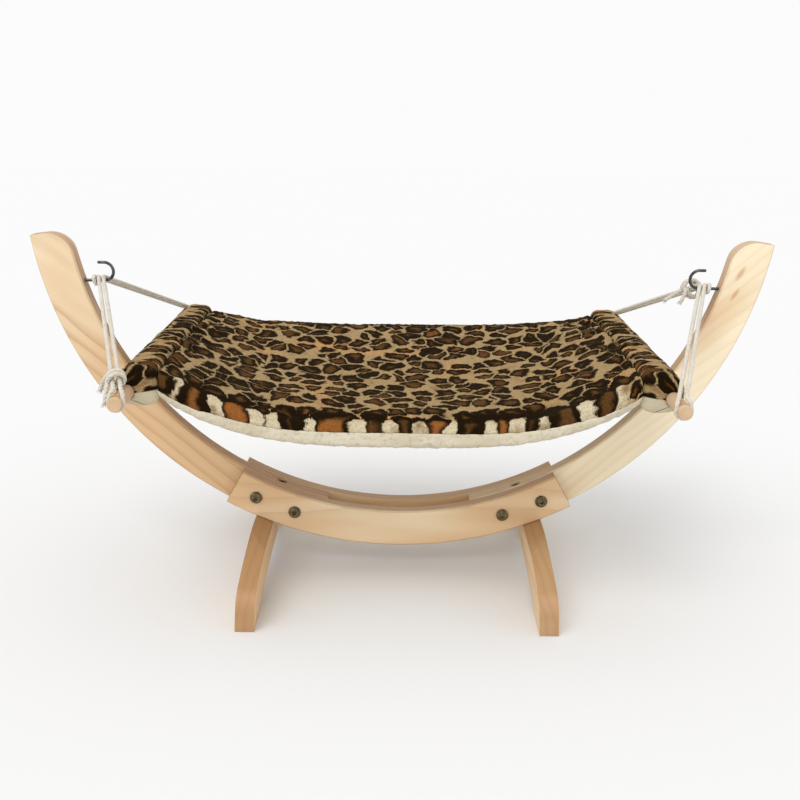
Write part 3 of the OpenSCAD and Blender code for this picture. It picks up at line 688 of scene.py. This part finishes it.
def fray(points, faces, uv, root, out, n, b):
    """A brush of loose yarns at the end of a tail: thin closed spikes."""
    for k in range(TAIL_FIBRES):
        a = GOLDEN_ANGLE * k
        spread = math.sqrt((k + 0.5) / TAIL_FIBRES)
        foot = root + CORD_R * FIBRE_SPREAD_SHARE * spread * (n * math.cos(a) + b * math.sin(a))
        foot = foot - out * CORD_R * FIBRE_ROOT_SHARE
        lean = unit(out + FIBRE_LEAN * spread * (n * math.cos(a + 0.5) + b * math.sin(a + 0.5)))
        tip = foot + lean * FIBRE_LEN * (0.75 + 0.5 * ((k * 7) % 5) / 5)
        start = len(points)
        for j in range(3):
            c = 2 * math.pi * j / 3
            points.append(foot + FIBRE_R_SHARE * CORD_R * (n * math.cos(c) + b * math.sin(c)))
        points.append(tip)
        uv.extend([(0.0, 0.1 * k)] * 3 + [(FIBRE_LEN, 0.1 * k)])
        faces.extend([(start, start + 1, start + 3), (start + 1, start + 2, start + 3),
                      (start + 2, start, start + 3), (start + 2, start + 1, start)])


def add_rope(name, node, route, material, frayed=False):
    points, faces, uv, line = rope_mesh(route, frayed)
    obj = add_mesh(name, points, faces, material)
    set_uv(obj, uv)
    hang_on_bed(obj, node)
    return obj, line


def add_cords():
    material = cotton()
    left, left_tie, right, right_tie = cord_routes()
    for side, route, tie in (("left", left, left_tie), ("right", right, right_tie)):
        cord, line = add_rope(f"{side}_rope", f"{side}_cord", route, material)
        knot, _ = add_rope(f"{side}_rope_knot", f"{side}_knot", tie, material, True)


add_camera()
add_cords()


# Mat: one padded form, parted at its seam into the plush top and the fleece lining
mat_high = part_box("mat_top")[1]
sleeve_low, sleeve_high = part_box("right_sleeve")
MAT_HALF_X = mat_high.x
MAT_HALF_Y = mat_high.y
SLEEVE_X = (sleeve_low.x + sleeve_high.x) / 2
SLEEVE_Z = (sleeve_low.z + sleeve_high.z) / 2
SLEEVE_R = (sleeve_high.z - sleeve_low.z) / 2

# How far the mat's front and rear edges hang down, and how its sides draw in, in metres
FRONT_SAG = 0.045
REAR_SAG = 0.011
SAG_POWER = 3.5
MAT_DRAW = 0.004

# Thickness of the mat in its middle and at the sleeves, and how square its sides and ends are
RIM_T = 0.030
SEAM_T = 0.036
RIM_SWELL_POWER = 6
EDGE_POWER = 0.48
END_ROUND = 0.003
END_SHARE = 0.88

# Hollow of its top, bulge of its underside and bow of the face between them
MAT_DISH = 0.012
MAT_BELLY = 0.006
CORE_BOW = 0.0015
DISH_POWER = 1.5

# Where plush and lining meet on the mat's side, in degrees, and how much that falls towards the ends
SEAM_ANGLE = 3.5
SEAM_FALL = 1.5

# Points along and round the mat
STATIONS = 91
STATION_POWER = 1.12
ARC_SAMPLES = 1200
TOP_STEPS = 66
LINING_STEPS = 58
MEMBRANE_STEPS = 25
REFINE = 3

# Folds in the mat's top, with ranges of their sizes in metres
CREASES = 11
CREASE_SEED = 11
CREASE_MARGIN_STEPS = 3
CREASE_SPAN_SHARE = 0.88
CREASE_LEN = (0.03, 0.085)
CREASE_W = (0.004, 0.0075)
CREASE_DEPTH = (0.0018, 0.0042)
CREASE_SKEW = 0.35
CREASE_POWER = 1.5

# Tufts of pile: height in metres, fineness and seed
PLUSH_PILE = (0.0007, 190.0, 21)
FLEECE_PILE = (0.0008, 150.0, 31)


def signed_power(value, power):
    return np.sign(value) * np.abs(value) ** power


def mat_section(u, angle):
    """Points of the mat's skin, at a share u of its half length and at angles round the cross-section."""
    v = signed_power(np.cos(angle), EDGE_POWER)
    w = signed_power(np.sin(angle), EDGE_POWER)
    slack = 1.0 - u * u
    half_t = RIM_T / 2 - (RIM_T - SEAM_T) / 2 * abs(u) ** RIM_SWELL_POWER
    inset = min(1.0, MAT_HALF_X * (1.0 - abs(u)) / END_ROUND)
    half_t *= END_SHARE + (1.0 - END_SHARE) * math.sqrt(1.0 - (1.0 - inset) ** 2)
    press = np.where(w > 0, MAT_DISH, MAT_BELLY) * slack * (1.0 - v * v) ** DISH_POWER
    sag = ((FRONT_SAG + REAR_SAG) + (REAR_SAG - FRONT_SAG) * v) / 2 * (1.0 - abs(u) ** SAG_POWER)
    z = SLEEVE_Z - sag + half_t * w - press
    return np.c_[np.full_like(v, u * MAT_HALF_X), v * (MAT_HALF_Y - MAT_DRAW * slack), z]


def even_arc(u, start, stop, steps):
    """Points an even distance apart on a stretch of a cross-section."""
    dense = mat_section(u, np.radians(np.linspace(start, stop, ARC_SAMPLES)))
    along = np.r_[0.0, np.cumsum(np.linalg.norm(np.diff(dense, axis=0), axis=1))]
    places = np.linspace(0.0, along[-1], steps + 1)
    return np.c_[tuple(np.interp(places, along, dense[:, k]) for k in range(3))]


def mat_grid():
    """Rings of the mat's skin: the top from seam to seam, then the lining back to the first seam."""
    share = np.linspace(-1.0, 1.0, STATIONS)
    rings = []
    for u in np.sign(share) * (1.0 - (1.0 - np.abs(share)) ** STATION_POWER):
        seam = SEAM_ANGLE * (1.0 - SEAM_FALL * u * u)
        top = even_arc(u, seam, 180.0 - seam, TOP_STEPS)
        lining = even_arc(u, 180.0 - seam, 360.0 + seam, LINING_STEPS)
        rings.append(np.r_[top[:-1], lining[:-1]])
    return np.array(rings)


def creased(grid):
    """Pull folds in the top, which run from the sleeves into the mat."""
    rng = np.random.default_rng(CREASE_SEED)
    top = slice(CREASE_MARGIN_STEPS, TOP_STEPS + 1 - CREASE_MARGIN_STEPS)
    x, y = grid[:, top, 0], grid[:, top, 1]
    drop = np.zeros_like(x)
    for side in (-1.0, 1.0):
        from_end = MAT_HALF_X - side * x
        for k in range(CREASES):
            middle = MAT_HALF_Y * CREASE_SPAN_SHARE * (2.0 * (k + rng.uniform(0.2, 0.8)) / CREASES - 1.0)
            length = rng.uniform(*CREASE_LEN)
            width = rng.uniform(*CREASE_W)
            depth = rng.uniform(*CREASE_DEPTH)
            skew = rng.uniform(-CREASE_SKEW, CREASE_SKEW)
            off = (y - middle - skew * from_end) / width
            drop += depth * np.exp(-off * off) * np.clip(1.0 - from_end / length, 0.0, 1.0) ** CREASE_POWER
    grid[:, top, 2] -= drop
    return grid


def ring_caps(rings, columns):
    """Flat caps at both ends of a row of rings."""
    last = (rings - 1) * columns
    return [tuple(range(columns))[::-1], tuple(range(last, last + columns))]


# Cloth: frames, pressure, shrinkage that is negative for slack, and lengths in metres
CLOTH_FRAMES = 20
CLOTH_PRESSURE = 2.0
CLOTH_SLACK = -0.005
CLOTH_CAP = 0.003
HELD_REACH = 0.012


def puffed(grid):
    """The mat after a cloth simulation: stuffed from inside and held at its sleeves."""
    rows, columns = grid.shape[:2]
    points = grid.reshape(-1, 3)
    obj = add_mesh("mat_cloth", points, grid_faces(rows, columns) + ring_caps(rows, columns), None)
    held = obj.vertex_groups.new(name="held")
    from_end = MAT_HALF_X - np.abs(points[:, 0])
    for index in np.nonzero(from_end < HELD_REACH)[0]:
        held.add([int(index)], float(1.0 - from_end[index] / HELD_REACH), "REPLACE")
    cloth = obj.modifiers.new("cloth", "CLOTH")
    settings = cloth.settings
    settings.quality = 6
    settings.mass = 0.25
    settings.tension_stiffness = 25.0
    settings.compression_stiffness = 25.0
    settings.shear_stiffness = 8.0
    settings.bending_stiffness = 0.6
    settings.air_damping = 3.0
    settings.use_pressure = True
    settings.uniform_pressure_force = CLOTH_PRESSURE
    settings.shrink_min = CLOTH_SLACK
    settings.vertex_group_mass = "held"
    settings.effector_weights.gravity = 0.0
    cloth.collision_settings.use_collision = False
    cloth.point_cache.frame_start = 1
    cloth.point_cache.frame_end = CLOTH_FRAMES
    for step in range(1, CLOTH_FRAMES + 1):
        bpy.context.scene.frame_set(step)
    shown = obj.evaluated_get(bpy.context.evaluated_depsgraph_get())
    moved = np.zeros(len(points) * 3)
    shown.data.vertices.foreach_get("co", moved)
    bpy.context.scene.frame_set(1)
    bpy.data.objects.remove(obj)
    shift = moved.reshape(-1, 3) - points
    far = np.linalg.norm(shift, axis=1)
    shift *= (CLOTH_CAP * np.tanh(far / CLOTH_CAP) / np.maximum(far, 1e-9))[:, None]
    return (points + shift).reshape(grid.shape)


def refined(grid, factor):
    """A grid of rings with more rows and columns, on smooth curves through its points."""
    for axis, wraps in ((0, False), (1, True)):
        grid = np.moveaxis(grid, axis, 0)
        count = len(grid)
        places = np.arange(count * factor if wraps else (count - 1) * factor + 1) / factor
        i = np.floor(places).astype(int)
        t = (places - i).reshape((-1,) + (1,) * (grid.ndim - 1))
        picks = [(i + k) % count if wraps else np.clip(i + k, 0, count - 1) for k in (-1, 0, 1, 2)]
        a, b, c, d = (grid[p] for p in picks)
        grid = b + 0.5 * t * (c - a + t * (2 * a - 5 * b + 4 * c - d + t * (3 * (b - c) + d - a)))
        grid = np.moveaxis(grid, 0, axis)
    return grid


def grid_normals(grid):
    """Outward normals of an open grid whose columns run round a form and whose rows run along it."""
    normal = np.cross(np.gradient(grid, axis=1), np.gradient(grid, axis=0))
    return normal / np.maximum(np.linalg.norm(normal, axis=2), 1e-12)[..., None]


def arc_lengths(grid):
    """UV pairs of an open patch: distances along its rows' and its columns' middles, in metres."""
    across = np.linalg.norm(np.diff(grid, axis=1), axis=2).mean(0)
    along = np.linalg.norm(np.diff(grid, axis=0), axis=2).mean(1)
    v = np.r_[0.0, np.cumsum(across)]
    u = np.r_[0.0, np.cumsum(along)]
    return np.stack(np.meshgrid(u, v, indexing="ij"), axis=-1)


def with_pile(grid, height, fineness, seed):
    """Tufts of pile, raised along the normals of a grid."""
    flat = grid.reshape(-1, 3)
    tufts = rolling_noise(flat, fineness, seed) + 0.6 * rolling_noise(flat, fineness * 2.1, seed + 1)
    return grid + grid_normals(grid) * (height * tufts).reshape(grid.shape[:2])[..., None]


def closed_patch(name, patch, material):
    """A solid from an open patch: its two long edges are joined by a hidden face that dips as the mat does,
    and its ends are capped."""
    rows, columns = patch.shape[:2]
    t = np.linspace(0.0, 1.0, MEMBRANE_STEPS + 2)[1:-1]
    first, last = patch[:, :1], patch[:, -1:]
    membrane = last + (first - last) * t[None, :, None]
    slack = 1.0 - (first[..., 0] / MAT_HALF_X) ** 2
    across = 1.0 - (2.0 * t[None, :] - 1.0) ** 2
    membrane[..., 2] -= MAT_DISH * slack * across ** DISH_POWER + CORE_BOW * across
    whole = np.concatenate([patch, membrane], axis=1)
    width = columns + MEMBRANE_STEPS
    obj = add_mesh(name, whole.reshape(-1, 3), grid_faces(rows, width) + ring_caps(rows, width), material)
    pairs = arc_lengths(patch)
    blank = np.broadcast_to(pairs[:, -1:], (rows, MEMBRANE_STEPS, 2))
    set_uv(obj, np.concatenate([pairs, blank], axis=1).reshape(-1, 2))
    turn_outward(obj)
    return obj


def add_mat(plush, lining_material):
    grid = creased(mat_grid())
    grid = puffed(grid)
    grid = refined(grid, REFINE)
    seam = TOP_STEPS * REFINE
    top = grid[:, :seam + 1]
    lining = np.concatenate([grid[:, seam:], grid[:, :1]], axis=1)
    top = with_pile(top, *PLUSH_PILE)
    lining = with_pile(lining, *FLEECE_PILE)
    top_pad = closed_patch("mat_top_plush", top, plush)
    lining_pad = closed_patch("mat_lining_fleece", lining, lining_material)
    for obj, node, slot in ((top_pad, "mat_top", "print_plush"), (lining_pad, "mat_lining", "cream_lining")):
        hang_on_bed(obj, node)


# Sleeves: counts of rows and sides, lengths in metres and seeds
SLEEVE_ROWS = 170
SLEEVE_SIDES = 84
SLEEVE_END = 0.006
SLEEVE_FLAT_POWER = 4.0
SLEEVE_END_ROWS = 16
SLEEVE_BORE_ROWS = 7
SLEEVE_LUMP = 0.0009
SLEEVE_LUMP_FINENESS = 34.0
SLEEVE_TUFT = 0.0007
SLEEVE_TUFT_LAYERS = ((1.0, 190.0, 44), (0.6, 400.0, 45))
SLEEVE_PUCKERS = 9
SLEEVE_PUCKER = 0.0035
SLEEVE_SIGNS = {"left": -1.0, "right": 1.0}
SLEEVE_CREASE_SEEDS = {"left": 5, "right": 6}
SLEEVE_LUMP_SEEDS = {"left": 41, "right": 43}

# Creases round a sleeve, with ranges of their sizes in metres
SLEEVE_CREASES = 26
SLEEVE_CREASE_SPAN_SHARE = 0.96
SLEEVE_CREASE_W = (0.002, 0.0045)
SLEEVE_CREASE_DEPTH = (0.0005, 0.0016)
SLEEVE_CREASE_SKEW = 0.006

# A sleeve is sewn shut underneath, and from there it is printed between these angles
SLEEVE_SEAM = math.radians(-110.0)
PRINTED_ANGLES = (math.radians(45.0), math.radians(300.0))


def sleeve_rows():
    """Rows round a sleeve: (place along the dowel, share of the way from the roll to the dowel's hole)."""
    half = (sleeve_high.y - sleeve_low.y) / 2
    a = np.radians(np.linspace(0.0, 90.0, SLEEVE_END_ROWS))
    first = np.c_[-half + SLEEVE_END * (1.0 - np.cos(a)), 1.0 - np.sin(a)]
    middle = np.linspace(-half + SLEEVE_END, half - SLEEVE_END, SLEEVE_ROWS)[1:-1]
    wall = np.c_[middle, np.zeros_like(middle)]
    last = first[::-1] * (-1.0, 1.0)
    bore = np.c_[np.linspace(half, -half, SLEEVE_BORE_ROWS + 2)[1:-1], np.ones(SLEEVE_BORE_ROWS)]
    return np.r_[first, wall, last, bore]


def sleeve_creases(side, y, turn):
    """How far creases draw in a roll at each place along and angle round it, most on its side to the mat."""
    rng = np.random.default_rng(SLEEVE_CREASE_SEEDS[side])
    drawn = np.zeros_like(y)
    for k in range(SLEEVE_CREASES):
        middle = 2.0 * (k + rng.uniform(0.1, 0.9)) / SLEEVE_CREASES - 1.0
        width = rng.uniform(*SLEEVE_CREASE_W)
        depth = rng.uniform(*SLEEVE_CREASE_DEPTH)
        skew = rng.uniform(-SLEEVE_CREASE_SKEW, SLEEVE_CREASE_SKEW)
        off = (y - MAT_HALF_Y * SLEEVE_CREASE_SPAN_SHARE * middle - skew * np.sin(turn)) / width
        drawn += depth * np.exp(-off * off) * (0.35 + 0.65 * smoothstep(-np.cos(turn), -0.4, 0.8))
    return drawn


def add_sleeve(side, material):
    """A stuffed roll, gathered at both ends round its dowel and flatter on its side to the mat."""
    rows = sleeve_rows()
    hole = DOWEL_D / 2 + 2 * FIT_GAP
    angle = SLEEVE_SEAM + np.linspace(0.0, 2 * math.pi, SLEEVE_SIDES, endpoint=False)
    y, share = (np.repeat(rows[:, k:k + 1], SLEEVE_SIDES, axis=1) for k in (0, 1))
    turn = np.broadcast_to(angle[None, :], y.shape)
    inner = smoothstep(-np.cos(turn), -0.1, 0.5)
    squared = np.abs(np.cos(turn)) ** SLEEVE_FLAT_POWER + np.abs(np.sin(turn)) ** SLEEVE_FLAT_POWER
    roll = SLEEVE_R * (1.0 + inner * (squared ** (-1.0 / SLEEVE_FLAT_POWER) - 1.0))
    radius = roll + (hole - roll) * share
    spots = np.c_[y.ravel(), np.cos(turn).ravel() * SLEEVE_R, np.sin(turn).ravel() * SLEEVE_R]
    lumps = SLEEVE_LUMP * rolling_noise(spots, SLEEVE_LUMP_FINENESS, SLEEVE_LUMP_SEEDS[side])
    tufts = sum(SLEEVE_TUFT * layer * rolling_noise(spots, fineness, seed)
                for layer, fineness, seed in SLEEVE_TUFT_LAYERS)
    pucker = SLEEVE_PUCKER * share * (1.0 - share) * np.cos(SLEEVE_PUCKERS * turn)
    relief = (lumps + tufts).reshape(y.shape) - sleeve_creases(side, y, turn)
    radius = radius + (1.0 - share) * relief - pucker
    x = SLEEVE_X + (DOWEL_X - SLEEVE_X) * share + radius * np.cos(turn)
    z = SLEEVE_Z + (DOWEL_Z - SLEEVE_Z) * share + radius * np.sin(turn)
    points = np.stack([SLEEVE_SIGNS[side] * x, y, z], axis=-1)
    obj = add_mesh(f"{side}_sleeve_plush", points.reshape(-1, 3),
                   grid_faces(len(rows), SLEEVE_SIDES, wrap_rows=True), material)
    steps = np.hypot(np.diff(rows[:, 0]), (SLEEVE_R - hole) * np.diff(rows[:, 1]))
    along = np.r_[0.0, np.cumsum(steps)]
    uv = np.stack([(turn - SLEEVE_SEAM) * SLEEVE_R, np.broadcast_to(along[:, None], y.shape)], axis=-1)
    set_uv(obj, uv.reshape(-1, 2))
    turn_outward(obj)
    hang_on_bed(obj, f"{side}_sleeve")


# Size of the spots along and across, and where the mat's rim begins, in metres
MAT_SPOT = (0.021, 0.020)
MAT_RIM_FROM = (0.1268, 0.202)
SLEEVE_SPOT = (0.031, 0.016)

add_mat(print_plush("print_plush", MAT_SPOT, rim_from=MAT_RIM_FROM), fleece())
sleeve_material = print_plush("sleeve_plush", SLEEVE_SPOT, stretch=[a * SLEEVE_R for a in PRINTED_ANGLES])
for side in ("left", "right"):
    add_sleeve(side, sleeve_material)


# Finish of the solids that stay
def dress(material, *nodes):
    for name in nodes:
        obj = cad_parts[name]
        obj.data.materials.clear()
        obj.data.materials.append(material)


# Turn of the grain of each pine piece, and the middle of its tree and its knots in metres
ARM_CHORD = math.radians(40.0)
LEFT_ARM_TURN = (0.0, -ARM_CHORD, 0.0)
RIGHT_ARM_TURN = (0.0, ARM_CHORD, 0.0)
RAIL_TURN = (0.0, 0.0, 0.0)
LEG_TURN = (0.0, 0.0, math.radians(90.0))
LEFT_ARM_HEART = (0.0, 0.06, 0.02)
RIGHT_ARM_HEART = (0.0, -0.09, 0.12)
FRONT_RAIL_HEART = (0.0, 0.10, 0.02)
REAR_RAIL_HEART = (0.0, -0.06, 0.10)
LEG_HEART = (0.0, 0.05, 0.0)
ARM_KNOTS = ((0.334, 0.318, 0.012), (0.331, 0.297, 0.010))

dress(pine("pine_left_arm", LEFT_ARM_TURN, LEFT_ARM_HEART, PINE_CREAM, 0.80, fade=2.3), "left_arm")
dress(pine("pine_right_arm", RIGHT_ARM_TURN, RIGHT_ARM_HEART, PINE_CREAM, -0.13, knots=ARM_KNOTS),
      "right_arm")
dress(pine("pine_front_rail", RAIL_TURN, FRONT_RAIL_HEART, PINE_CREAM, 0.20), "front_rail")
dress(pine("pine_rear_rail", RAIL_TURN, REAR_RAIL_HEART, PINE_PALE, 0.10), "rear_rail")
dress(pine("pine_legs", LEG_TURN, LEG_HEART, PINE_PALE, 0.16, broad="X"), "left_leg", "right_leg")
dress(dowel_wood(), "left_dowel", "right_dowel")
dress(worn_metal("hook_steel", HOOK_DARK, HOOK_BRIGHT, 0.36), "left_hook", "right_hook")
dress(worn_metal("bolt_metal", BOLT_DARK, BOLT_BRIGHT, 0.42),
      "rail_bolts", "rail_nuts", "leg_bolts", "leg_inserts")


# Floor and light: the floor is as bright as the sky behind it
FLOOR_HALF = 6.0
FLOOR_DROP = 0.0002
FLOOR_CLOUD_SHARE = 0.995
SKY = 0.97
SUN = 1.1
SUN_FROM = Vector((-0.5, -0.8, 1.2))
SUN_SPREAD = 38.0


def add_floor():
    material, tree, shader = new_material("floor", Roughness=0.95, Specular_IOR_Level=0.0)
    tone = SKY / (SKY + SUN * SUN_FROM.normalized().z / math.pi)
    place = add_node(tree, "TexCoord").outputs["Object"]
    cloud = noise_node(tree, place, 1.5, 2.0).outputs["Fac"]
    body = ramp(tree, cloud, (0.2, (tone * FLOOR_CLOUD_SHARE,) * 3), (0.8, (tone,) * 3))
    tree.links.new(body, shader.inputs["Base Color"])
    h = FLOOR_HALF
    corners = [(-h, -h, -FLOOR_DROP), (h, -h, -FLOOR_DROP), (h, h, -FLOOR_DROP), (-h, h, -FLOOR_DROP)]
    floor = add_mesh("floor", corners, [(0, 1, 2, 3)], material)


def add_studio():
    world = bpy.data.worlds.new("studio")
    bpy.context.scene.world = world
    world.use_nodes = True
    sky = world.node_tree.nodes["Background"]
    sky.inputs["Color"].default_value = (1.0, 1.0, 1.0, 1.0)
    sky.inputs["Strength"].default_value = SKY
    data = bpy.data.lights.new("key", "SUN")
    data.energy = SUN
    data.angle = math.radians(SUN_SPREAD)
    key = bpy.data.objects.new("key", data)
    key.location = SUN_FROM
    key.rotation_euler = SUN_FROM.to_track_quat("Z", "Y").to_euler()
    bpy.context.scene.collection.objects.link(key)
    bpy.context.scene.view_settings.view_transform = "Standard"


add_floor()
add_studio()
